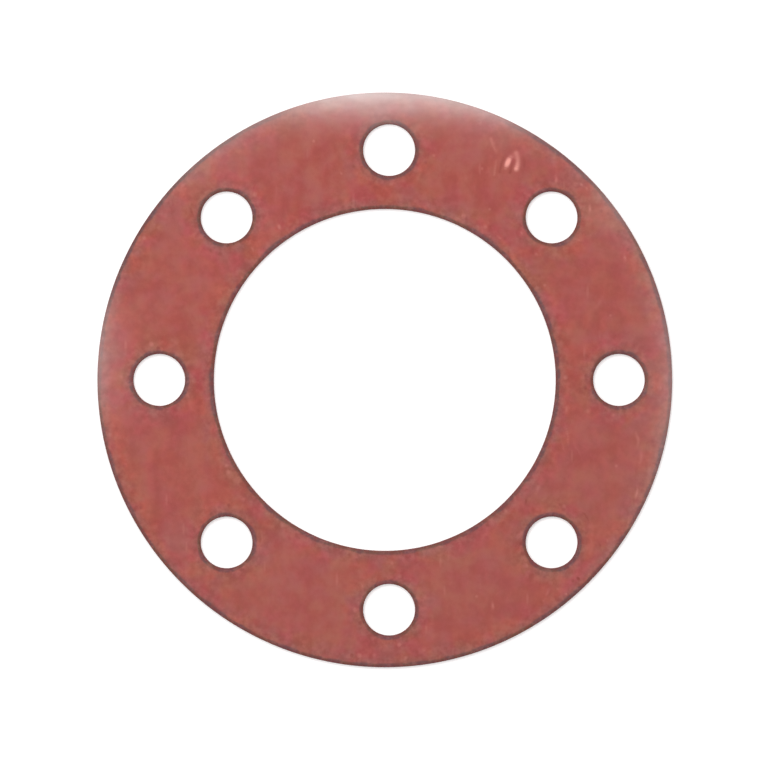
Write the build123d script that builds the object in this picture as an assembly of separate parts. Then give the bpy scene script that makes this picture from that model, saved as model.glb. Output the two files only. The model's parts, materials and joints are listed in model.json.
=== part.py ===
"""A full-face flange gasket: one flat ring, die-cut from red rubber sheet.

The frame is in millimetres. The gasket lies on the XY plane with its back face at Z = 0, and its bore
is centred on the origin.
"""

from build123d import *
import os

# Plan
OUTER_DIAMETER = 200.0
BORE_DIAMETER = 119.0
BOLT_CIRCLE_DIAMETER = 160.0
BOLT_HOLE_DIAMETER = 18.0
BOLT_HOLE_COUNT = 8
FIRST_HOLE_ANGLE = 90.0

# The bolt holes are punched in a stroke of their own, which landed this far off the ring's centre,
# along +X. The eight holes keep their even spacing.
BOLT_CIRCLE_SHIFT = 1.5

# Section. The die drags the upper face down before it cuts, so each edge of that face rolls over in
# an arc. The back edge, where the die comes out, has only its arris broken.
THICKNESS = 3.0
ROLL_WIDTH = 1.2
ROLL_DEPTH = 0.5
BACK_EDGE_BREAK = 0.15

# How far a hole cutter stands past the upper and back faces
CUTTER_MARGIN = 1.0


def draw_cut_edge(wall_radius, outward):
    """Draw one cut edge of the sheet in the XZ plane, and return its two ends.

    The wall is at X = wall_radius. The rubber is on the +X side of it if outward is 1, and on the -X
    side if outward is -1. The ends are the points where the back face and the upper face begin.
    """
    back_end = (wall_radius + outward * BACK_EDGE_BREAK, 0)
    wall_foot = (wall_radius, BACK_EDGE_BREAK)
    wall_head = (wall_radius, THICKNESS - ROLL_DEPTH)
    face_end = (wall_radius + outward * ROLL_WIDTH, THICKNESS)

    Polyline(back_end, wall_foot, wall_head)
    TangentArc(face_end, wall_head, tangent=(-outward, 0))
    return back_end, face_end


def make_ring():
    """The sheet cut to its outer edge and its bore."""
    with BuildPart() as ring:
        with BuildSketch(Plane.XZ):
            with BuildLine():
                inner_back, inner_face = draw_cut_edge(BORE_DIAMETER / 2, 1)
                outer_back, outer_face = draw_cut_edge(OUTER_DIAMETER / 2, -1)
                Line(inner_back, outer_back)
                Line(inner_face, outer_face)
            make_face()
        revolve(axis=Axis.Z)
    return ring.part


def make_hole_cutter():
    """The space of one bolt hole: its wall, its rolled mouth and its back edge."""
    back_level = -CUTTER_MARGIN
    top_level = THICKNESS + CUTTER_MARGIN
    with BuildPart() as cutter:
        with BuildSketch(Plane.XZ):
            with BuildLine():
                back_end, face_end = draw_cut_edge(BOLT_HOLE_DIAMETER / 2, 1)
                Polyline(
                    back_end,
                    (back_end[0], back_level),
                    (0, back_level),
                    (0, top_level),
                    (face_end[0], top_level),
                    face_end,
                )
            make_face()
        revolve(axis=Axis.Z)
    return cutter.part


def make_gasket():
    """The ring with its circle of bolt holes."""
    cutter = make_hole_cutter()
    circle_centre = Location((BOLT_CIRCLE_SHIFT, 0, 0))
    places = PolarLocations(
        BOLT_CIRCLE_DIAMETER / 2,
        BOLT_HOLE_COUNT,
        start_angle=FIRST_HOLE_ANGLE,
    )
    return make_ring() - [circle_centre * place * cutter for place in places]


gasket = make_gasket()
gasket.label = "flange_gasket"

os.makedirs("parts", exist_ok=True)
export_step(gasket, "parts/flange_gasket.step")
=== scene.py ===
import json
import math

import bmesh
import bpy
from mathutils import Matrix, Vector, noise


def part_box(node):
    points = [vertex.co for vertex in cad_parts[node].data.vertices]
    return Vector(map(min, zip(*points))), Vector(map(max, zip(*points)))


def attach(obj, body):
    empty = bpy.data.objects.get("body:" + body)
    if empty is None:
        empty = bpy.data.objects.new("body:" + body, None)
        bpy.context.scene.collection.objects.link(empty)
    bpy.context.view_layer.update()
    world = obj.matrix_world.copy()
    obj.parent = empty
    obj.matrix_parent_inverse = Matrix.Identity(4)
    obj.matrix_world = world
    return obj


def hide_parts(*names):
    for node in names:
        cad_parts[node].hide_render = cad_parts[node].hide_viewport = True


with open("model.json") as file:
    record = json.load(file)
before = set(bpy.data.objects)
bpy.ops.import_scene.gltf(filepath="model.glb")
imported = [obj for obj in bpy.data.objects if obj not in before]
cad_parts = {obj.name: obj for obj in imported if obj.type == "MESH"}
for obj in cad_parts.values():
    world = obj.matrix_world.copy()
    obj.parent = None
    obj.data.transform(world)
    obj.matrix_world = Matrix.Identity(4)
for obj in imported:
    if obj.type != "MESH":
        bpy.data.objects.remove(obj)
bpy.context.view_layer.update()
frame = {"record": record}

# A flange gasket of red sheet rubber, lying on a white floor and seen straight down.
#
# One watertight mesh replaces the plain solid: the two faces, and the cut edges of the rim, the bore
# and the bolt holes. Its vertices carry masks (cut, depth, painted sheen and mark) that the material
# reads.

# ---------------------------------------------------------------------------------------------------
# Sizes, in metres. Those of the plan come from the frame.
# ---------------------------------------------------------------------------------------------------
MM = 0.001
NODE = "flange_gasket"

mounts = {mount["name"]: mount for mount in frame["record"]["mounts"]}
low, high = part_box(NODE)
THICKNESS = high.z - low.z
OUTER_RADIUS = high.x
BORE_RADIUS = mounts["bore"]["dims"]["r_mm"] * MM
HOLE_RADIUS = mounts["bolt_holes"]["dims"]["hole_r_mm"] * MM
BOLT_CIRCLE_RADIUS = mounts["bolt_holes"]["dims"]["pcd_mm"] / 2 * MM
BOLT_CIRCLE_CENTRE = Vector(mounts["bolt_holes"]["pos_m"][:2])
HOLE_COUNT = mounts["bolt_holes"]["dims"]["count"]
FIRST_HOLE_ANGLE = math.radians(90)

# The cut edge: the rolled-over rim of the upper face, the wall and the back edge
ROLL_WIDTH = 1.2 * MM
ROLL_DEPTH = 0.5 * MM
ARRIS_RADIUS = 0.12 * MM
BACK_BREAK = 0.15 * MM
WALL_HOLLOW = 0.10 * MM
# The roll's arc stops a little short of the wall. The arris takes over: in shares of its radius, its
# middle lies this far into the rubber and this far down, and the wall starts that far down.
ROLL_SHARE = 0.97
ARRIS_INSET = 0.08
ARRIS_DROP = 0.45
WALL_START = 1.2
# The back break's middle, as a share of its size
BACK_BREAK_MIDDLE = 0.3
# How much of the surface is cut rubber, from 0 to 1, at the foot of the roll and along both breaks
ROLL_CUT = 0.35
ARRIS_CUT = 0.8
BACK_BREAK_CUT = 0.7

# A cut wall wanders by this much at most, in slow waves and quick ones. A grain is in waves per
# metre, and a level only picks one slice of the noise.
WALL_WANDER = 0.07 * MM
SLOW_WANDER_SHARE = 0.65
SLOW_WANDER_GRAIN = 160
SLOW_WANDER_LEVEL = 3.0
QUICK_WANDER_GRAIN = 1300
QUICK_WANDER_GRAIN_UP = 250

# The upper face is never quite flat. It has broad swells and faint ripples, and falls to the rim.
SWELL_HEIGHT = 0.06 * MM
SWELL_GRAIN = 28
SWELL_LEVEL = 1.7
RIPPLE_HEIGHT = 0.02 * MM
RIPPLE_GRAIN_X = 130
RIPPLE_GRAIN_Y = 60
RIPPLE_LEVEL = 5.1
RIM_FALL = 0.16 * MM
RIM_FALL_REACH = 14 * MM

# The mesh. Each hole has a sector of the ring to itself, with a grid wrapped round the hole.
ARC_STEPS = 54
SIDE_STEPS = 30
UPPER_LAYERS = 21
BACK_LAYERS = 6
EDGE_CROWDING = 0.5
ROLL_STEPS = 7
WALL_STEPS = 6
WELD = 0.001 * MM
# Points above this share of the thickness belong to the flat of the upper face.
FACE_SHARE = 0.99

# Places on the photograph, in pixels, are turned into places on the gasket.
PIXELS_PER_METRE = 2877.0
RING_CENTRE_PIXEL = (384.8, 379.9)
IMAGE_CENTRE_PIXEL = 384.0


def srgb(red, green, blue):
    """An 8-bit sRGB colour as linear RGBA."""
    def linear(value):
        value /= 255
        return value / 12.92 if value <= 0.04045 else ((value + 0.055) / 1.055) ** 2.4
    return (linear(red), linear(green), linear(blue), 1.0)


def place(pixel_x, pixel_y):
    """The point of the upper face under a pixel of the photograph."""
    return Vector((
        (pixel_x - RING_CENTRE_PIXEL[0]) / PIXELS_PER_METRE,
        (RING_CENTRE_PIXEL[1] - pixel_y) / PIXELS_PER_METRE,
    ))


# ---------------------------------------------------------------------------------------------------
# Marks on the upper face
# ---------------------------------------------------------------------------------------------------
# Each mark is a stroke, put where the photograph shows a scratch, a nick or a speck: its start,
# middle and end, half its width, and its tone at those three places. A tone above 0 is torn, paler
# rubber that stands up a little, and one below 0 a darker groove. The first five are the two torn
# scuffs with the grooves beside them.
MARKS = [
    (place(505.6, 167.6), place(507.9, 162.4), place(510.4, 157.6), 1.10 * MM, (0.30, 1.00, 0.40)),
    (place(516.2, 153.0), place(517.8, 160.5), place(516.2, 168.4), 1.10 * MM, (0.40, 0.44, 0.70)),
    (place(504.4, 156.0), place(501.8, 164.0), place(499.8, 171.6), 0.70 * MM, (-0.3, -0.6, -0.5)),
    (place(513.2, 161.0), place(511.8, 166.5), place(510.0, 172.4), 0.70 * MM, (-0.3, -0.6, -0.6)),
    (place(523.4, 157.0), place(524.4, 163.0), place(524.0, 169.0), 0.80 * MM, (-0.2, -0.4, -0.2)),
    (place(496.2, 160.6), place(495.4, 167.0), place(494.2, 174.6), 0.60 * MM, (0.14, 0.24, 0.22)),
    (place(491.0, 139.0), place(493.6, 146.0), place(496.4, 152.6), 0.85 * MM, (0.28, 0.28, 0.16)),
    (place(343.6, 128.0), place(344.4, 139.0), place(343.4, 150.0), 0.60 * MM, (-0.1, -0.3, -0.2)),
    (place(188.0, 205.0), place(190.6, 210.0), place(193.0, 216.0), 0.50 * MM, (-0.2, -0.5, -0.2)),
    (place(565.0, 424.0), place(567.4, 434.0), place(568.6, 445.0), 0.50 * MM, (0.10, 0.22, 0.12)),
    (place(561.0, 438.0), place(562.6, 446.0), place(565.6, 453.0), 0.45 * MM, (0.08, 0.18, 0.10)),
    (place(574.6, 445.0), place(578.6, 451.0), place(581.8, 458.0), 0.45 * MM, (0.06, 0.14, 0.06)),
    (place(636.0, 433.0), place(638.2, 440.0), place(637.4, 447.0), 0.70 * MM, (0.14, 0.24, 0.12)),
    (place(640.4, 451.0), place(641.2, 458.0), place(639.0, 465.0), 0.70 * MM, (0.12, 0.24, 0.12)),
    (place(637.6, 488.0), place(637.0, 493.0), place(635.6, 498.0), 0.60 * MM, (0.16, 0.36, 0.16)),
    (place(594.0, 310.0), place(598.6, 304.0), place(602.6, 297.0), 0.90 * MM, (0.08, 0.16, 0.10)),
    (place(477.6, 568.0), place(480.4, 584.0), place(479.0, 600.0), 0.60 * MM, (0.04, 0.12, 0.08)),
    (place(492.4, 602.0), place(492.8, 606.0), place(492.4, 609.0), 0.70 * MM, (0.16, 0.30, 0.14)),
    (place(556.0, 176.0), place(556.4, 179.6), place(555.6, 183.0), 0.65 * MM, (0.14, 0.30, 0.12)),
    (place(624.4, 255.0), place(625.0, 258.0), place(625.2, 261.0), 0.65 * MM, (0.16, 0.32, 0.16)),
    (place(278.0, 224.0), place(279.2, 227.0), place(279.0, 230.0), 0.80 * MM, (0.14, 0.36, 0.14)),
    (place(275.6, 184.0), place(276.4, 190.0), place(276.0, 197.0), 0.60 * MM, (0.06, 0.14, 0.06)),
    (place(525.6, 499.0), place(526.2, 501.0), place(525.4, 503.6), 0.50 * MM, (-0.3, -0.7, -0.3)),
    (place(577.0, 577.0), place(578.4, 578.6), place(580.0, 580.2), 0.65 * MM, (-0.4, -0.9, -0.4)),
    (place(580.0, 183.0), place(581.4, 184.6), place(582.6, 186.4), 0.60 * MM, (0.14, 0.30, 0.12)),
    (place(585.6, 186.6), place(586.8, 188.4), place(587.6, 190.6), 0.55 * MM, (0.10, 0.26, 0.10)),
    (place(589.4, 204.6), place(590.0, 208.6), place(589.6, 212.4), 0.60 * MM, (0.16, 0.34, 0.16)),
    (place(535.0, 252.4), place(536.4, 254.0), place(537.2, 255.8), 0.60 * MM, (0.10, 0.24, 0.10)),
    (place(520.4, 231.4), place(521.4, 233.0), place(522.0, 234.6), 0.50 * MM, (0.10, 0.24, 0.10)),
    (place(498.0, 236.0), place(499.6, 237.8), place(501.6, 239.4), 0.50 * MM, (0.10, 0.24, 0.10)),
    (place(578.0, 239.0), place(579.2, 240.2), place(580.6, 241.0), 0.50 * MM, (0.10, 0.20, 0.10)),
    (place(566.0, 405.6), place(566.6, 408.8), place(566.4, 412.6), 0.60 * MM, (0.10, 0.24, 0.10)),
    (place(586.6, 408.6), place(587.8, 411.4), place(588.2, 414.2), 0.90 * MM, (0.10, 0.22, 0.10)),
    (place(539.6, 480.6), place(538.2, 487.6), place(535.0, 495.6), 0.70 * MM, (0.08, 0.18, 0.08)),
    (place(504.0, 508.8), place(505.6, 510.4), place(507.0, 512.4), 0.60 * MM, (0.10, 0.22, 0.10)),
    (place(606.6, 539.4), place(607.6, 541.0), place(607.8, 543.2), 0.50 * MM, (0.10, 0.24, 0.10)),
    (place(526.4, 564.2), place(526.8, 565.4), place(527.2, 566.8), 0.45 * MM, (0.10, 0.18, 0.10)),
    (place(556.4, 587.6), place(557.8, 588.8), place(559.0, 590.4), 0.55 * MM, (0.10, 0.20, 0.08)),
    (place(548.6, 588.4), place(547.8, 592.0), place(546.0, 595.4), 0.60 * MM, (0.10, 0.22, 0.10)),
    (place(565.2, 593.6), place(566.2, 594.0), place(567.2, 594.6), 0.40 * MM, (0.20, 0.36, 0.20)),
    (place(542.4, 608.2), place(544.2, 608.6), place(546.4, 607.4), 0.70 * MM, (0.08, 0.16, 0.08)),
    (place(340.4, 172.4), place(341.3, 173.4), place(342.2, 174.4), 0.45 * MM, (0.14, 0.28, 0.14)),
    (place(464.4, 175.6), place(466.4, 177.6), place(468.0, 179.6), 0.90 * MM, (0.06, 0.14, 0.06)),
    (place(419.6, 200.4), place(423.0, 198.6), place(427.0, 196.0), 0.80 * MM, (0.06, 0.14, 0.06)),
    (place(456.6, 217.4), place(458.8, 219.0), place(461.0, 220.8), 0.50 * MM, (0.10, 0.20, 0.10)),
    (place(476.0, 225.2), place(477.6, 226.4), place(479.4, 227.4), 0.50 * MM, (0.10, 0.20, 0.10)),
    (place(181.0, 187.4), place(182.8, 185.2), place(184.6, 183.0), 0.55 * MM, (0.12, 0.24, 0.12)),
    (place(193.6, 174.4), place(195.8, 172.4), place(198.0, 170.6), 0.55 * MM, (0.10, 0.22, 0.10)),
    (place(251.4, 246.8), place(252.6, 249.0), place(253.4, 251.4), 0.50 * MM, (0.10, 0.22, 0.10)),
    (place(204.4, 193.4), place(205.8, 192.4), place(207.4, 191.4), 0.50 * MM, (0.08, 0.18, 0.08)),
    (place(581.0, 511.6), place(585.8, 515.6), place(588.6, 522.6), 0.45 * MM, (-0.3, -0.6, -0.3)),
    (place(636.2, 465.6), place(636.6, 470.6), place(636.0, 476.0), 0.65 * MM, (-0.1, -0.3, -0.1)),
    (place(599.2, 543.4), place(600.2, 545.2), place(600.8, 547.4), 0.50 * MM, (-0.2, -0.5, -0.2)),
]
MARK_STEPS = 8
# A mark has no effect farther from its middle than its length plus this many half widths.
MARK_REACH = 3
MARK_LIFT = 0.08 * MM
# The mesh is divided finely out to this distance from every mark.
MARK_MARGIN = 1.7 * MM
MARK_CUTS = 2
# The two torn scuffs need a still finer mesh: round this point, out to this distance.
SCUFF_CENTRE = place(508.5, 160.5)
SCUFF_PATCH = 7.5 * MM
SCUFF_CUTS = 4

# A painted sheen, pale like glare, covers the head of the ring, and fades down it over this depth. The
# power shapes the fade.
HEAD_SHEEN = 0.62
HEAD_SHEEN_DEPTH = 7.0 * MM
HEAD_SHEEN_POWER = 1.5
# More painted sheen follows the rim, strongest at these angles, in degrees: angle, spread, strength.
RIM_SHEENS = [
    (0, 24, 0.17),
    (37, 7, 0.15),
    (53, 9, 0.05),
    (67, 8, 0.16),
    (98, 4, 0.10),
    (125, 12, 0.15),
    (175, 12, 0.24),
]
RIM_SHEEN_REACH = 4.8 * MM


def stroke_points(start, middle, end, tones):
    """Points along the curve through a mark's three places, each with its tone."""
    points = []
    for step in range(MARK_STEPS + 1):
        share = step / MARK_STEPS
        weights = ((1 - share) * (1 - 2 * share), 4 * share * (1 - share), share * (2 * share - 1))
        point = start * weights[0] + middle * weights[1] + end * weights[2]
        tone = sum(tone * weight for tone, weight in zip(tones, weights))
        points.append((point, tone))
    return points


STROKES = [
    (middle, half_width, (end - start).length, stroke_points(start, middle, end, tones))
    for start, middle, end, half_width, tones in MARKS
]


def mark_at(x, y):
    """The tone of the marks at a point of the upper face."""
    here = Vector((x, y))
    total = 0.0
    for middle, half_width, length, points in STROKES:
        if (here - middle).length > length + MARK_REACH * half_width:
            continue
        distance, tone = min(((here - point).length, tone) for point, tone in points)
        total += tone * math.exp(-(distance / half_width) ** 2)
    return max(-1.0, min(1.0, total))


def depth_at(x, y):
    """The distance from a point of the sheet to the nearest cut wall."""
    radius = math.hypot(x, y)
    point = Vector((x, y))
    to_holes = min((point - hole_centre(hole)).length for hole in range(HOLE_COUNT)) - HOLE_RADIUS
    return max(0.0, min(OUTER_RADIUS - radius, radius - BORE_RADIUS, to_holes))


def sheen_at(x, y):
    """How much painted sheen, pale like glare, lies on a point of the upper face, from 0 to 1."""
    head = HEAD_SHEEN * math.exp(-(max(0.0, OUTER_RADIUS - y) / HEAD_SHEEN_DEPTH) ** HEAD_SHEEN_POWER)
    angle = math.degrees(math.atan2(y, x))
    rim = 0.0
    for centre, spread, strength in RIM_SHEENS:
        turn = (angle - centre + 180) % 360 - 180
        rim += strength * math.exp(-(turn / spread) ** 2)
    return head + rim * math.exp(-max(0.0, OUTER_RADIUS - math.hypot(x, y)) / RIM_SHEEN_REACH)


def waves(x, y, z):
    """Smooth random waves, from 0 to 1."""
    return 0.5 + 0.5 * noise.noise(Vector((x, y, z)))


def relief_at(x, y):
    """How far the upper face lies below its full height: a gentle unevenness, and a fall to the rim."""
    swell = SWELL_HEIGHT * waves(x * SWELL_GRAIN, y * SWELL_GRAIN, SWELL_LEVEL)
    ripple = RIPPLE_HEIGHT * waves(x * RIPPLE_GRAIN_X, y * RIPPLE_GRAIN_Y, RIPPLE_LEVEL)
    rim = max(0.0, 1 - (OUTER_RADIUS - math.hypot(x, y)) / RIM_FALL_REACH)
    return swell + ripple + RIM_FALL * rim * rim


# ---------------------------------------------------------------------------------------------------
# The gasket's mesh
# ---------------------------------------------------------------------------------------------------
def cut_edge_section():
    """The section of a cut edge, from the upper face to the back face.

    Each point is (distance into the rubber from the wall, height, how much it is cut surface).
    """
    arc_radius = (ROLL_WIDTH ** 2 + ROLL_DEPTH ** 2) / (2 * ROLL_DEPTH)
    sweep = math.asin(ROLL_WIDTH / arc_radius)
    section = []
    for step in range(ROLL_STEPS + 1):
        turn = sweep * ROLL_SHARE * step / ROLL_STEPS
        share = step / ROLL_STEPS
        section.append((
            ROLL_WIDTH - arc_radius * math.sin(turn),
            THICKNESS - arc_radius * (1 - math.cos(turn)),
            ROLL_CUT * share * share,
        ))
    wall_head = THICKNESS - ROLL_DEPTH
    section.append((ARRIS_RADIUS * ARRIS_INSET, wall_head - ARRIS_RADIUS * ARRIS_DROP, ARRIS_CUT))
    wall_top = wall_head - ARRIS_RADIUS * WALL_START
    for step in range(WALL_STEPS + 1):
        share = step / WALL_STEPS
        height = wall_top * (1 - share) + BACK_BREAK * share
        section.append((WALL_HOLLOW * math.sin(math.pi * share), height, 1.0))
    middle = BACK_BREAK * BACK_BREAK_MIDDLE
    section.append((middle, middle, BACK_BREAK_CUT))
    section.append((BACK_BREAK, 0.0, 0.0))
    return section


def polar(radius, angle):
    """The point at a radius and an angle round the origin."""
    return Vector((radius * math.cos(angle), radius * math.sin(angle)))


def hole_angle(sector):
    """The angle of a sector's bolt hole on the bolt circle, and of the sector's middle."""
    return FIRST_HOLE_ANGLE + sector * math.tau / HOLE_COUNT


def hole_centre(sector):
    """The centre of a sector's bolt hole."""
    return BOLT_CIRCLE_CENTRE + polar(BOLT_CIRCLE_RADIUS, hole_angle(sector))


def sector_angles(sector):
    """The angles of the points along a sector's arcs."""
    middle = hole_angle(sector)
    half = math.pi / HOLE_COUNT
    return [middle - half + 2 * half * step / ARC_STEPS for step in range(ARC_STEPS + 1)]


def sector_outline(sector, inset):
    """The outline of a sector, anticlockwise from the start of its outer arc, with the arcs inset."""
    outer, inner = OUTER_RADIUS - inset, BORE_RADIUS + inset
    angles = sector_angles(sector)
    side = [outer + (inner - outer) * step / SIDE_STEPS for step in range(SIDE_STEPS)]
    points = [polar(outer, angle) for angle in angles[:-1]]
    points += [polar(radius, angles[-1]) for radius in side]
    points += [polar(inner, angle) for angle in reversed(angles[1:])]
    points += [polar(inner + outer - radius, angles[0]) for radius in side]
    return points


def hole_directions(sector):
    """The directions from a hole's centre to the points of its sector's outline."""
    centre = hole_centre(sector)
    return [(point - centre).normalized() for point in sector_outline(sector, ROLL_WIDTH)]


class Builder:
    """Collects grids of points into one mesh. Each point knows how much it is cut surface."""

    def __init__(self):
        self.mesh = bmesh.new()
        self.cut = self.mesh.verts.layers.float.new("cut")

    def vertex(self, point, height, cut):
        """Add a point."""
        vertex = self.mesh.verts.new((point.x, point.y, height))
        vertex[self.cut] = cut
        return vertex

    def join(self, rows, closed):
        """Fill between rows of vertices with quads. A closed row ends where it starts."""
        count = len(rows[0])
        for upper, lower in zip(rows, rows[1:]):
            for step in range(count if closed else count - 1):
                following = (step + 1) % count
                self.mesh.faces.new((upper[step], upper[following], lower[following], lower[step]))


def wander(point, height, cut):
    """How far a cut wall stands back from its true line: a knife never cuts quite straight."""
    slow = waves(point.x * SLOW_WANDER_GRAIN, point.y * SLOW_WANDER_GRAIN, SLOW_WANDER_LEVEL)
    quick = waves(
        point.x * QUICK_WANDER_GRAIN,
        point.y * QUICK_WANDER_GRAIN,
        height * QUICK_WANDER_GRAIN_UP,
    )
    return WALL_WANDER * cut * (SLOW_WANDER_SHARE * slow + (1 - SLOW_WANDER_SHARE) * quick)


def add_face(builder, sector, inset, height, layers):
    """One sector of the upper or the back face."""
    centre = hole_centre(sector)
    inner = [centre + (HOLE_RADIUS + inset) * direction for direction in hole_directions(sector)]
    outer = sector_outline(sector, inset)
    rows = []
    for layer in range(layers + 1):
        even = layer / layers
        eased = 0.5 - 0.5 * math.cos(math.pi * even)
        share = even + EDGE_CROWDING * (eased - even)
        rows.append([
            builder.vertex(near.lerp(far, share), height, 0.0)
            for near, far in zip(inner, outer)
        ])
    builder.join(rows, closed=True)


def add_cut_edge(builder, points_at, closed):
    """One cut edge. points_at gives the row of points at a distance into the rubber."""
    rows = []
    wall = points_at(0.0)
    for inset, height, cut in cut_edge_section():
        row = []
        for point, inward in zip(wall, points_at(1.0)):
            direction = inward - point
            shift = inset + wander(point, height, cut)
            row.append(builder.vertex(point + direction * shift, height, cut))
        rows.append(row)
    builder.join(rows, closed)


def add_sector(builder, sector):
    """The faces and the three cut edges of one sector."""
    add_face(builder, sector, ROLL_WIDTH, THICKNESS, UPPER_LAYERS)
    add_face(builder, sector, BACK_BREAK, 0.0, BACK_LAYERS)
    angles = sector_angles(sector)
    centre = hole_centre(sector)
    directions = hole_directions(sector)
    add_cut_edge(builder, lambda inset: [polar(OUTER_RADIUS - inset, a) for a in angles], False)
    add_cut_edge(builder, lambda inset: [polar(BORE_RADIUS + inset, a) for a in angles], False)
    add_cut_edge(
        builder,
        lambda inset: [centre + (HOLE_RADIUS + inset) * direction for direction in directions],
        True,
    )


def near_scuffs(point):
    """Whether a point lies by the two torn scuffs."""
    return (point - SCUFF_CENTRE).length < SCUFF_PATCH


def near_mark(point):
    """Whether a point lies by a mark, away from the scuffs."""
    if near_scuffs(point):
        return False
    return any(
        (point - middle).length < length + MARK_MARGIN
        and any((point - step).length < MARK_MARGIN for step, tone in points)
        for middle, half_width, length, points in STROKES
    )


def refine(mesh, is_near, cuts):
    """Divide the upper face more finely where a test of its points says so."""
    vertices = {
        vertex for vertex in mesh.verts
        if vertex.co.z > THICKNESS * FACE_SHARE and is_near(vertex.co.xy)
    }
    edges = [edge for edge in mesh.edges if all(vertex in vertices for vertex in edge.verts)]
    bmesh.ops.subdivide_edges(mesh, edges=edges, cuts=cuts, use_grid_fill=True)


def split_many_sided(mesh):
    """Split the faces round a refined stretch into triangles, while they are flat."""
    faces = [face for face in mesh.faces if len(face.verts) > 4]
    bmesh.ops.triangulate(mesh, faces=faces, ngon_method="BEAUTY")


def settle(builder):
    """Give the flat mesh its unevenness and marks, and write the masks that the material reads."""
    mesh = builder.mesh
    depth = mesh.verts.layers.float.new("depth")
    painted_sheen = mesh.verts.layers.float.new("painted_sheen")
    mark = mesh.verts.layers.float.new("mark")
    for vertex in mesh.verts:
        x, y, z = vertex.co
        share = z / THICKNESS
        vertex[depth] = depth_at(x, y) / MM
        # Painted sheen: how much pale glare is painted into the colour here.
        vertex[painted_sheen] = sheen_at(x, y) * share
        vertex[mark] = mark_at(x, y) if share > FACE_SHARE else 0.0
        vertex.co.z = min(THICKNESS, z - relief_at(x, y) * share + MARK_LIFT * vertex[mark])


def make_gasket():
    """The gasket as one object."""
    builder = Builder()
    for sector in range(HOLE_COUNT):
        add_sector(builder, sector)
    mesh = builder.mesh
    bmesh.ops.remove_doubles(mesh, verts=mesh.verts, dist=WELD)
    refine(mesh, near_scuffs, SCUFF_CUTS)
    refine(mesh, near_mark, MARK_CUTS)
    split_many_sided(mesh)
    settle(builder)
    bmesh.ops.recalc_face_normals(mesh, faces=mesh.faces)
    for face in mesh.faces:
        face.smooth = True
    data = bpy.data.meshes.new("gasket_sheet")
    mesh.to_mesh(data)
    mesh.free()
    gasket = bpy.data.objects.new("gasket_sheet", data)
    bpy.context.scene.collection.objects.link(gasket)
    return gasket


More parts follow.
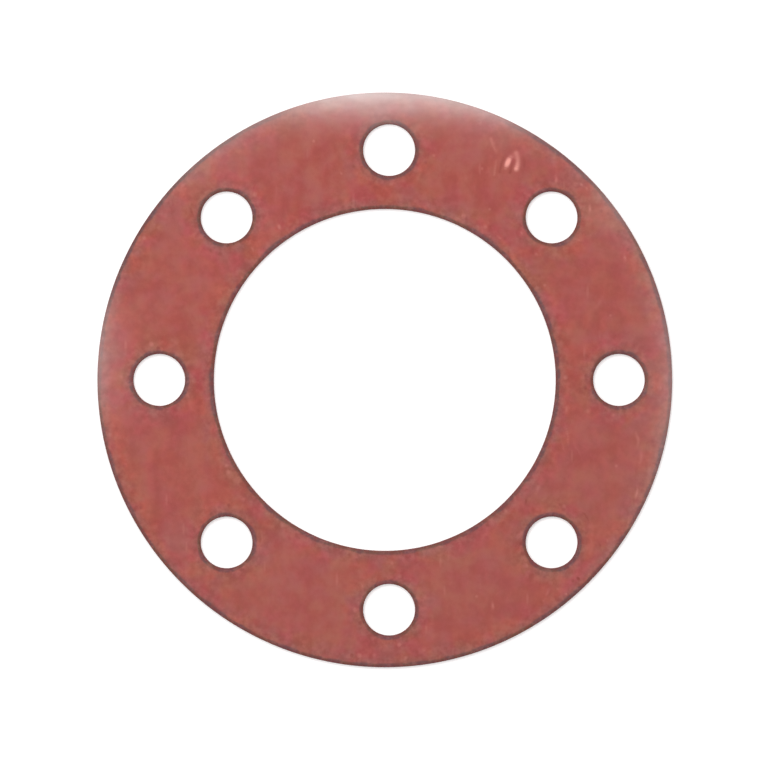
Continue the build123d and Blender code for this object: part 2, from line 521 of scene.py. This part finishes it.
# ---------------------------------------------------------------------------------------------------
# Materials
# ---------------------------------------------------------------------------------------------------
class Graph:
    """A short way to write a material's nodes."""

    # The colour sockets of a Mix node, which shares its socket names between data types
    COLOUR_A = 6
    COLOUR_B = 7
    COLOUR_OUT = 2
    # A speck is full out to this share of its radius. The fraction of its colour times SPECK_LOT is
    # the lot that decides whether it is kept.
    SPECK_CORE = 0.3
    SPECK_LOT = 7.31

    def __init__(self, name):
        self.material = bpy.data.materials.new(name)
        self.material.use_nodes = True
        self.nodes = self.material.node_tree.nodes
        self.links = self.material.node_tree.links
        self.shader = self.nodes["Principled BSDF"]

    def feed(self, socket, value):
        """Link another node's output to a socket, or set the socket to a plain value."""
        if isinstance(value, bpy.types.NodeSocket):
            self.links.new(value, socket)
        else:
            socket.default_value = value

    def math(self, operation, *values):
        """One operation on numbers."""
        node = self.nodes.new("ShaderNodeMath")
        node.operation = operation
        for socket, value in zip(node.inputs, values):
            self.feed(socket, value)
        return node.outputs[0]

    def attribute(self, name):
        """One of the masks that the mesh carries."""
        node = self.nodes.new("ShaderNodeAttribute")
        node.attribute_name = name
        return node.outputs["Fac"]

    def measure(self, operation, output, vector=(0.0, 0.0, 0.0)):
        """One operation on a place, which is in the object's own coordinates."""
        position = self.nodes.new("ShaderNodeTexCoord").outputs["Object"]
        node = self.nodes.new("ShaderNodeVectorMath")
        node.operation = operation
        self.feed(node.inputs[0], position)
        node.inputs[1].default_value = vector
        return node.outputs[output]

    def stretch(self, grain):
        """The place, multiplied along each axis."""
        return self.measure("MULTIPLY", "Vector", grain)

    def along(self, direction):
        """How far the place lies along a direction."""
        return self.measure("DOT_PRODUCT", "Value", direction)

    def distance(self):
        """How far the place is from the object's origin."""
        return self.measure("LENGTH", "Value")

    def noise(self, grain, detail=2.0, roughness=0.5):
        """Noise from about 0.25 to 0.75. Its grain is in waves per metre along each axis."""
        node = self.nodes.new("ShaderNodeTexNoise")
        self.feed(node.inputs["Vector"], self.stretch(grain))
        node.inputs["Scale"].default_value = 1.0
        node.inputs["Detail"].default_value = detail
        node.inputs["Roughness"].default_value = roughness
        return node.outputs["Fac"]

    def specks(self, grain, radius, kept):
        """Specks at random places, 1 at the middle of each and 0 outside. A share of them is kept."""
        node = self.nodes.new("ShaderNodeTexVoronoi")
        self.feed(node.inputs["Vector"], self.stretch(grain))
        node.inputs["Scale"].default_value = 1.0
        inside = self.ramp(node.outputs["Distance"], radius, radius * self.SPECK_CORE)
        lot = self.math("FRACT", self.math("MULTIPLY", node.outputs["Color"], self.SPECK_LOT))
        return self.math("MULTIPLY", inside, self.math("LESS_THAN", lot, kept))

    def ramp(self, value, start, end, low=0.0, high=1.0):
        """Map start..end onto low..high, smoothly, and hold it outside. Start may be above end."""
        node = self.nodes.new("ShaderNodeMapRange")
        node.interpolation_type = "SMOOTHSTEP"
        self.feed(node.inputs["Value"], value)
        node.inputs["From Min"].default_value = start
        node.inputs["From Max"].default_value = end
        node.inputs["To Min"].default_value = low
        node.inputs["To Max"].default_value = high
        return node.outputs["Result"]

    def mix(self, share, first, second):
        """A colour between two others, with this share of the second."""
        node = self.nodes.new("ShaderNodeMix")
        node.data_type = "RGBA"
        self.feed(node.inputs["Factor"], share)
        self.feed(node.inputs[self.COLOUR_A], first)
        self.feed(node.inputs[self.COLOUR_B], second)
        return node.outputs[self.COLOUR_OUT]

    def bump(self, height, distance, strength, normal=None):
        """The normal of a surface that stands up by a height from 0 to 1, times a distance."""
        node = self.nodes.new("ShaderNodeBump")
        node.inputs["Strength"].default_value = strength
        node.inputs["Distance"].default_value = distance
        self.feed(node.inputs["Height"], height)
        if normal is not None:
            self.feed(node.inputs["Normal"], normal)
        return node.outputs["Normal"]


# ---------------------------------------------------------------------------------------------------
# The rubber
# ---------------------------------------------------------------------------------------------------
RUBBER_RED = srgb(172, 59, 59)
RUBBER_BROWN = srgb(135, 86, 71)
RUBBER_ROSE = srgb(149, 63, 77)
RUBBER_OLIVE = srgb(158, 82, 53)
RUBBER_DEEP = srgb(128, 54, 48)
RUBBER_CUT = srgb(102, 49, 45)
RUBBER_PALE = srgb(182, 108, 99)
RUBBER_TORN = srgb(226, 150, 139)
RUBBER_GROOVE = srgb(122, 46, 40)
# The next colour is painted shade for one side of the face.
RUBBER_SIDE_SHADE = srgb(120, 100, 96)
# The edge colours are painted shade along every cut: the dark line and the strip that fades from it.
EDGE_BROWN = srgb(99, 64, 46)
EDGE_MAUVE = srgb(91, 56, 68)
EDGE_GREY = srgb(89, 65, 56)
EDGE_RED = srgb(100, 55, 54)
EDGE_ASH = srgb(66, 61, 66)
EDGE_FADE = srgb(118, 90, 81)
# The next two colours are painted sheen: pale glare painted into the colour at the head and the rim.
SHEEN_WHITE = srgb(226, 206, 202)
SHEEN_GREY = srgb(219, 207, 205)

# Grains, in waves per metre along X, Y and Z. A low one makes long grain: the streaks run along Y, and
# the comb marks run down the walls.
PATCH_GRAIN = (175, 155, 175)
TINT_GRAIN = (135, 125, 135)
NEAR_PATCH_GRAIN = (140, 150, 140)
NEAR_TINT_GRAIN = (115, 110, 115)
CLOUD_GRAIN = (180, 155, 180)
STREAK_GRAIN = (330, 45, 90)
FINE_GRAIN = (1200, 1200, 1200)
LINE_SHADE_GRAIN = (150, 150, 150)
FADE_SHADE_GRAIN = (145, 140, 145)
COMB_GRAIN = (3400, 3400, 300)
SHEEN_GRAIN = (120, 320, 120)

# Each ramp says where it starts and where it ends, and what it gives there and there. Without the last
# two it gives 0 and 1. These go by noise, and give shares of a colour.
PATCH_RAMP = (0.3, 0.7, 0.33, 0.67)
TINT_RAMP = (0.3, 0.7, 0.30, 0.70)
NEAR_PATCH_RAMP = (0.34, 0.66)
NEAR_TINT_RAMP = (0.38, 0.62)
CLOUD_RAMP = (0.3, 0.75, 0.0, 0.44)
STREAK_RAMP = (0.45, 0.75, 0.0, 0.03)
FINE_RAMP = (0.35, 0.7, 0.0, 0.06)
FADE_SHADE_RAMP = (0.34, 0.66, 0.06, 0.38)
EDGE_RED_RAMP = (0.62, 0.38)
EDGE_MAUVE_RAMP = (0.38, 0.62)
COMB_RAMP = (0.35, 0.65)
# These go by noise too, and give the width of the painted shade line in millimetres, the evenness of
# the painted sheen, and the roughness of the face.
EDGE_LINE_RAMP = (0.3, 0.7, 1.05, 1.6)
SHEEN_CLOUD_RAMP = (0.3, 0.7, 0.90, 1.10)
ROUGHNESS_RAMP = (0.3, 0.7, 0.58, 0.70)
# These go by the depth from the nearest cut, in millimetres.
NEAR_MOTTLE_RAMP = (14.0, 2.0, 0.0, 0.75)
NEAR_EDGE_RAMP = (7.0, 3.0)
FADE_RAMP = (5.0, 1.5)
GREY_EDGE_RAMP = (3.5, 0.0)
# These go by the painted sheen: where it is thick, it hides the painted edge shade, and is greyer along
# the cuts.
CLEAR_OF_SHEEN_RAMP = (0.06, 0.4, 1.0, 0.15)
GREY_SHEEN_RAMP = (0.2, 0.5)
# These go by the tone of a mark.
TORN_RAMP = (0.0, 1.0, 0.0, 0.92)
GROOVE_RAMP = (0.0, -1.0, 0.0, 0.85)

# Painted shade: the face is a little darker towards this side.
SHADE_SIDE = Vector((0.35, -0.94, 0.0))
SIDE_SHADE_RAMP = (-0.4 * OUTER_RADIUS, OUTER_RADIUS, 0.0, 0.06)
# The painted shade lines along the cuts are a little greyer towards this side.
ASH_SIDE = Vector((-0.79, 0.61, 0.0))
ASH_RAMP = (0.78 * OUTER_RADIUS, 0.97 * OUTER_RADIUS, 0.0, 0.45)
# The higher this power, the crisper the painted shade line's inner side
EDGE_LINE_POWER = 9.0

# Specks: their grain, the radius of each in shares of a wave, and the share of them that is kept
NICKS = ((330, 300, 330), 0.38, 0.12)
PITS = ((340, 340, 340), 0.32, 0.16)
DASHES = ((330, 75, 75), 0.24, 0.16)
DOTS = ((170, 170, 170), 0.13, 0.12)
NICK_SHARE = 0.44
PIT_SHARE = 0.70
DASH_SHARE = 0.22
DOT_SHARE = 0.3

# Flecks: between which depths they set in, their grain, and how much dark and pale they bring
COARSE_FLECKS = ((11.0, 1.0), (400, 400, 400), 0.40, 0.18)
FINE_FLECKS = ((5.5, 0.0), (900, 900, 900), 0.24, 0.14)
DARK_FLECK_LEVELS = (0.48, 0.68)
PALE_FLECK_LEVELS = (0.52, 0.32)

# Relief in the shading alone: its height, and how strongly it shows
FINE_BUMP = (0.02 * MM, 0.6)
CLOUD_BUMP = (0.08 * MM, 0.5)
COMB_BUMP = (0.12 * MM, 0.8)
CUT_EXTRA_ROUGHNESS = 0.12
RUBBER_SPECULAR = 0.25


def mottle(graph, depth):
    """Red and brown patches, and rose and olive tints. Near the cuts both are stronger."""
    patches = graph.ramp(graph.noise(PATCH_GRAIN), *PATCH_RAMP)
    tints = graph.ramp(graph.noise(TINT_GRAIN), *TINT_RAMP)
    redness = graph.mix(patches, RUBBER_BROWN, RUBBER_RED)
    tint = graph.mix(tints, RUBBER_OLIVE, RUBBER_ROSE)
    colour = graph.mix(0.5, redness, tint)

    near_patches = graph.ramp(graph.noise(NEAR_PATCH_GRAIN), *NEAR_PATCH_RAMP)
    near_tints = graph.ramp(graph.noise(NEAR_TINT_GRAIN), *NEAR_TINT_RAMP)
    near_redness = graph.mix(near_patches, RUBBER_BROWN, RUBBER_RED)
    near_tint = graph.mix(near_tints, RUBBER_OLIVE, RUBBER_ROSE)
    near_colour = graph.mix(0.5, near_redness, near_tint)
    return graph.mix(graph.ramp(depth, *NEAR_MOTTLE_RAMP), colour, near_colour)


def add_specks(graph, colour, depth):
    """Pale nicks and dark pits near the cuts, and pale dashes and dots all over the face."""
    near_edge = graph.ramp(depth, *NEAR_EDGE_RAMP)
    nicks = graph.math("MULTIPLY", graph.specks(*NICKS), near_edge)
    colour = graph.mix(graph.math("MULTIPLY", nicks, NICK_SHARE), colour, RUBBER_PALE)
    pits = graph.math("MULTIPLY", graph.specks(*PITS), near_edge)
    colour = graph.mix(graph.math("MULTIPLY", pits, PIT_SHARE), colour, RUBBER_DEEP)
    dashes = graph.math("MULTIPLY", graph.specks(*DASHES), DASH_SHARE)
    dots = graph.math("MULTIPLY", graph.specks(*DOTS), DOT_SHARE)
    return graph.mix(graph.math("MAXIMUM", dashes, dots), colour, RUBBER_PALE)


def face_colour(graph, depth, clouds, grain):
    """The face of the sheet: mottled, clouded and streaked, with painted shade towards one side, and
    specks.
    """
    streaks = graph.noise(STREAK_GRAIN, detail=1.0)
    colour = mottle(graph, depth)
    colour = graph.mix(graph.ramp(clouds, *CLOUD_RAMP), colour, RUBBER_DEEP)
    colour = graph.mix(graph.ramp(streaks, *STREAK_RAMP), colour, RUBBER_PALE)
    colour = graph.mix(graph.ramp(grain, *FINE_RAMP), colour, RUBBER_DEEP)
    # Painted shade towards one side of the face.
    colour = graph.mix(graph.ramp(graph.along(SHADE_SIDE), *SIDE_SHADE_RAMP), colour, RUBBER_SIDE_SHADE)
    return add_specks(graph, colour, depth)


def add_painted_edge_shade(graph, colour, depth, painted_sheen):
    """Painted shade along each cut: a dark line where the rolled edge falls into shade, and a greyer
    strip that fades into the face beside it.
    """
    line_noise = graph.noise(LINE_SHADE_GRAIN)
    fade_noise = graph.noise(FADE_SHADE_GRAIN)
    clear_of_sheen = graph.ramp(painted_sheen, *CLEAR_OF_SHEEN_RAMP)

    # Painted shade, fading away from the cut.
    fade = graph.math("MULTIPLY", graph.ramp(depth, *FADE_RAMP), clear_of_sheen)
    fade = graph.math("MULTIPLY", fade, graph.ramp(fade_noise, *FADE_SHADE_RAMP))
    colour = graph.mix(fade, colour, EDGE_FADE)

    edge_grey = graph.mix(graph.ramp(fade_noise, *EDGE_RED_RAMP), EDGE_GREY, EDGE_RED)
    edge_brown = graph.mix(graph.ramp(line_noise, *EDGE_MAUVE_RAMP), EDGE_BROWN, EDGE_MAUVE)
    edge_shade_colour = graph.mix(0.5, edge_grey, edge_brown)
    edge_shade_colour = graph.mix(graph.ramp(graph.along(ASH_SIDE), *ASH_RAMP), edge_shade_colour, EDGE_ASH)

    # The dark line of painted shade right along the cut.
    reach = graph.math("DIVIDE", depth, graph.ramp(line_noise, *EDGE_LINE_RAMP))
    steep = graph.math("POWER", reach, EDGE_LINE_POWER)
    line = graph.math("DIVIDE", 1.0, graph.math("ADD", steep, 1.0))
    return graph.mix(graph.math("MULTIPLY", line, clear_of_sheen), colour, edge_shade_colour)


def add_flecks(graph, colour, depth, reach, grain, dark, pale):
    """Dark and pale flecks near the cuts."""
    near = graph.ramp(depth, *reach)
    flecks = graph.noise(grain, roughness=0.55)
    dark_flecks = graph.math("MULTIPLY", near, graph.ramp(flecks, *DARK_FLECK_LEVELS, 0.0, dark))
    pale_flecks = graph.math("MULTIPLY", near, graph.ramp(flecks, *PALE_FLECK_LEVELS, 0.0, pale))
    colour = graph.mix(dark_flecks, colour, RUBBER_DEEP)
    return graph.mix(pale_flecks, colour, RUBBER_PALE)


def add_painted_sheen(graph, colour, depth, painted_sheen):
    """Painted sheen: pale glare painted into the colour, a little uneven, and greyer along the cuts
    where it is thick.
    """
    evenness = graph.ramp(graph.noise(SHEEN_GRAIN), *SHEEN_CLOUD_RAMP)
    grey_edge = graph.ramp(depth, *GREY_EDGE_RAMP)
    greyness = graph.math("MULTIPLY", grey_edge, graph.ramp(painted_sheen, *GREY_SHEEN_RAMP))
    sheen_colour = graph.mix(greyness, SHEEN_WHITE, SHEEN_GREY)
    return graph.mix(graph.math("MULTIPLY", painted_sheen, evenness), colour, sheen_colour)


def rubber_normal(graph, clouds, grain, combed, cut):
    """The normal of the rubber: finely grained and clouded, and combed where it is cut."""
    normal = graph.bump(grain, *FINE_BUMP)
    normal = graph.bump(clouds, *CLOUD_BUMP, normal)
    return graph.bump(graph.math("MULTIPLY", combed, cut), *COMB_BUMP, normal)


def rubber_material():
    """Red sheet rubber: the face and the cut walls, under painted edge shade, flecks, painted sheen and
    marks.
    """
    graph = Graph("red_sheet_rubber")
    cut = graph.attribute("cut")
    depth = graph.attribute("depth")
    painted_sheen = graph.attribute("painted_sheen")
    mark = graph.attribute("mark")
    clouds = graph.noise(CLOUD_GRAIN, detail=3.0, roughness=0.6)
    grain = graph.noise(FINE_GRAIN, detail=3.0, roughness=0.6)
    combed = graph.noise(COMB_GRAIN, roughness=0.55)

    colour = face_colour(graph, depth, clouds, grain)
    colour = add_painted_edge_shade(graph, colour, depth, painted_sheen)
    colour = add_flecks(graph, colour, depth, *COARSE_FLECKS)
    colour = add_flecks(graph, colour, depth, *FINE_FLECKS)
    wall_colour = graph.mix(graph.ramp(combed, *COMB_RAMP), RUBBER_CUT, RUBBER_DEEP)
    colour = graph.mix(cut, colour, wall_colour)
    # Painted sheen over the head and the rim.
    colour = add_painted_sheen(graph, colour, depth, painted_sheen)
    colour = graph.mix(graph.ramp(mark, *TORN_RAMP), colour, RUBBER_TORN)
    colour = graph.mix(graph.ramp(mark, *GROOVE_RAMP), colour, RUBBER_GROOVE)
    graph.feed(graph.shader.inputs["Base Color"], colour)

    extra = graph.math("MULTIPLY", cut, CUT_EXTRA_ROUGHNESS)
    rough = graph.math("ADD", graph.ramp(clouds, *ROUGHNESS_RAMP), extra)
    graph.feed(graph.shader.inputs["Roughness"], rough)
    graph.shader.inputs["Specular IOR Level"].default_value = RUBBER_SPECULAR
    graph.feed(graph.shader.inputs["Normal"], rubber_normal(graph, clouds, grain, combed, cut))
    return graph.material


# ---------------------------------------------------------------------------------------------------
# Stage: floor, light and camera
# ---------------------------------------------------------------------------------------------------
WHITE = (1.0, 1.0, 1.0, 1.0)
FLOOR_SIZE = 8.0
FLOOR_GAP = 0.02 * MM
FLOOR_WHITE = (0.89, 0.89, 0.89, 1.0)
FLOOR_PALER_WHITE = (0.90, 0.90, 0.90, 1.0)
FLOOR_GRAIN = (1.5, 1.5, 1.5)
FLOOR_SHADE_RAMP = (0.3, 0.7)
FLOOR_ROUGHNESS = 0.9
FLOOR_SPECULAR = 0.1
# By the distance from the gasket's middle, in metres: where the glow starts to grow and where it ends,
# and its strength there and there
FLOOR_GLOW_RAMP = (0.2, 1.5, 0.2, 0.9)
WORLD_STRENGTH = 0.5
# Each softbox: its name, its place and the side of its square in metres, and its power in watts
SOFTBOXES = [
    ("overhead_softbox", (-0.14, 0.17, 1.0), 0.85, 9.3),
    ("back_softbox", (0.1, 1.5, 0.9), 0.9, 3.6),
]
LENS_MM = 150.0
SENSOR_MM = 36.0
IMAGE_WIDTH_PIXELS = 768


def floor_material():
    """A white floor. It glows a little, more so far from the gasket, where less light falls on it."""
    graph = Graph("white_floor")
    shade = graph.ramp(graph.noise(FLOOR_GRAIN), *FLOOR_SHADE_RAMP)
    white = graph.mix(shade, FLOOR_WHITE, FLOOR_PALER_WHITE)
    graph.feed(graph.shader.inputs["Base Color"], white)
    graph.shader.inputs["Roughness"].default_value = FLOOR_ROUGHNESS
    graph.shader.inputs["Specular IOR Level"].default_value = FLOOR_SPECULAR
    graph.shader.inputs["Emission Color"].default_value = WHITE
    glow = graph.ramp(graph.distance(), *FLOOR_GLOW_RAMP)
    graph.feed(graph.shader.inputs["Emission Strength"], glow)
    return graph.material


def add_floor():
    """A wide floor, just under the gasket."""
    bpy.ops.mesh.primitive_plane_add(size=FLOOR_SIZE, location=(0, 0, -FLOOR_GAP))
    floor = bpy.context.object
    floor.name = "floor"
    floor.data.materials.append(floor_material())


def add_softbox(name, location, size, power):
    """A square light that faces the gasket."""
    light = bpy.data.lights.new(name, "AREA")
    light.size = size
    light.energy = power
    lamp = bpy.data.objects.new(name, light)
    lamp.location = location
    lamp.rotation_euler = (-Vector(location)).to_track_quat("-Z", "Y").to_euler()
    lamp.visible_camera = False
    bpy.context.scene.collection.objects.link(lamp)


def add_world():
    """Even white light from all sides."""
    world = bpy.data.worlds.new("studio")
    world.use_nodes = True
    background = world.node_tree.nodes["Background"]
    background.inputs["Color"].default_value = WHITE
    background.inputs["Strength"].default_value = WORLD_STRENGTH
    bpy.context.scene.world = world


def add_camera():
    """Straight down on the ring, with the ring where the photograph has it."""
    data = bpy.data.cameras.new("camera")
    data.lens = LENS_MM
    data.sensor_width = SENSOR_MM
    camera = bpy.data.objects.new("camera", data)
    distance = IMAGE_WIDTH_PIXELS * LENS_MM / SENSOR_MM / PIXELS_PER_METRE
    camera.location = (
        (IMAGE_CENTRE_PIXEL - RING_CENTRE_PIXEL[0]) / PIXELS_PER_METRE,
        (RING_CENTRE_PIXEL[1] - IMAGE_CENTRE_PIXEL) / PIXELS_PER_METRE,
        THICKNESS + distance,
    )
    bpy.context.scene.collection.objects.link(camera)
    bpy.context.scene.camera = camera


# ---------------------------------------------------------------------------------------------------
# The scene
# ---------------------------------------------------------------------------------------------------
gasket = make_gasket()
gasket.data.materials.append(rubber_material())
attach(gasket, "root")
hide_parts(NODE)

add_floor()
add_world()
for softbox in SOFTBOXES:
    add_softbox(*softbox)
add_camera()
bpy.context.scene.view_settings.view_transform = "Standard"
